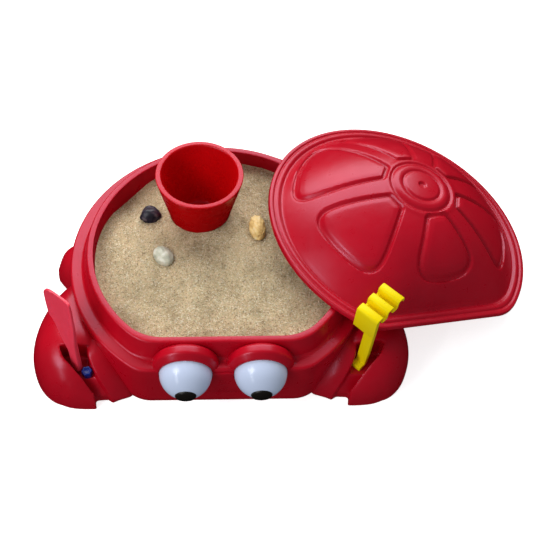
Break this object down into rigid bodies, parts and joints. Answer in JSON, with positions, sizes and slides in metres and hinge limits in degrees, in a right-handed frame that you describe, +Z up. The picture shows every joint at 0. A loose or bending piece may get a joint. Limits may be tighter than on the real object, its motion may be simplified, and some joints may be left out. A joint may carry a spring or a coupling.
{
  "type": "sandbox with cover",
  "caption": "Crab shaped plastic sandbox filled with sand, with bucket, shovel, rake and peg, its domed cover lifted off and leaning on the side.",
  "frame": {"origin": "on the ground under the middle of the tub's round plan", "axes": "+Z up, +Y to the tub's back, the face looks along -Y, +X to the side where the cover leans"},
  "size_m": [1.4494, 0.9389, 0.3668],
  "materials": {
    "red_plastic": "moulded, semi gloss",
    "red_cover": "moulded, semi gloss",
    "white_plastic": "gloss",
    "black_plastic": "satin",
    "red_pail": "semi gloss",
    "red_spade": "satin",
    "blue_plastic": "satin",
    "yellow_plastic": "satin",
    "sand": "loose grains",
    "dark_stone": "natural",
    "pale_shell": "natural, slightly glossy",
    "yellow_shell": "natural"
  },
  "bodies": {
    "tub_body": {"tub": "red_plastic", "left_eye_dome": "white_plastic", "right_eye_dome": "white_plastic", "left_pupil": "black_plastic", "right_pupil": "black_plastic", "sand_fill": "sand", "dark_stone": "dark_stone", "pale_shell": "pale_shell", "yellow_shell": "yellow_shell"},
    "lid_body": {"lid": "red_cover"},
    "bucket_body": {"bucket": "red_pail"},
    "shovel_body": {"shovel": "red_spade"},
    "peg_body": {"blue_peg": "blue_plastic"},
    "rake_body": {"rake": "yellow_plastic"}
  },
  "joints": [
    {"name": "lid_lift", "type": "slide", "parent": "tub_body", "child": "lid_body", "axis": [0.451, 0.7517, 0.4811], "range_m": [0, 0.4]},
    {"name": "bucket_lift", "type": "slide", "parent": "tub_body", "child": "bucket_body", "axis": [0, 0, 1], "range_m": [0, 0.3]},
    {"name": "shovel_lift", "type": "slide", "parent": "tub_body", "child": "shovel_body", "axis": [-0.0593, 0.2245, 0.9727], "range_m": [0, 0.25]},
    {"name": "rake_lift", "type": "slide", "parent": "tub_body", "child": "rake_body", "axis": [0, 0, 1], "range_m": [0, 0.25]},
    {"name": "peg_lift", "type": "slide", "parent": "tub_body", "child": "peg_body", "axis": [0, 0, 1], "range_m": [0, 0.12]}
  ]
}
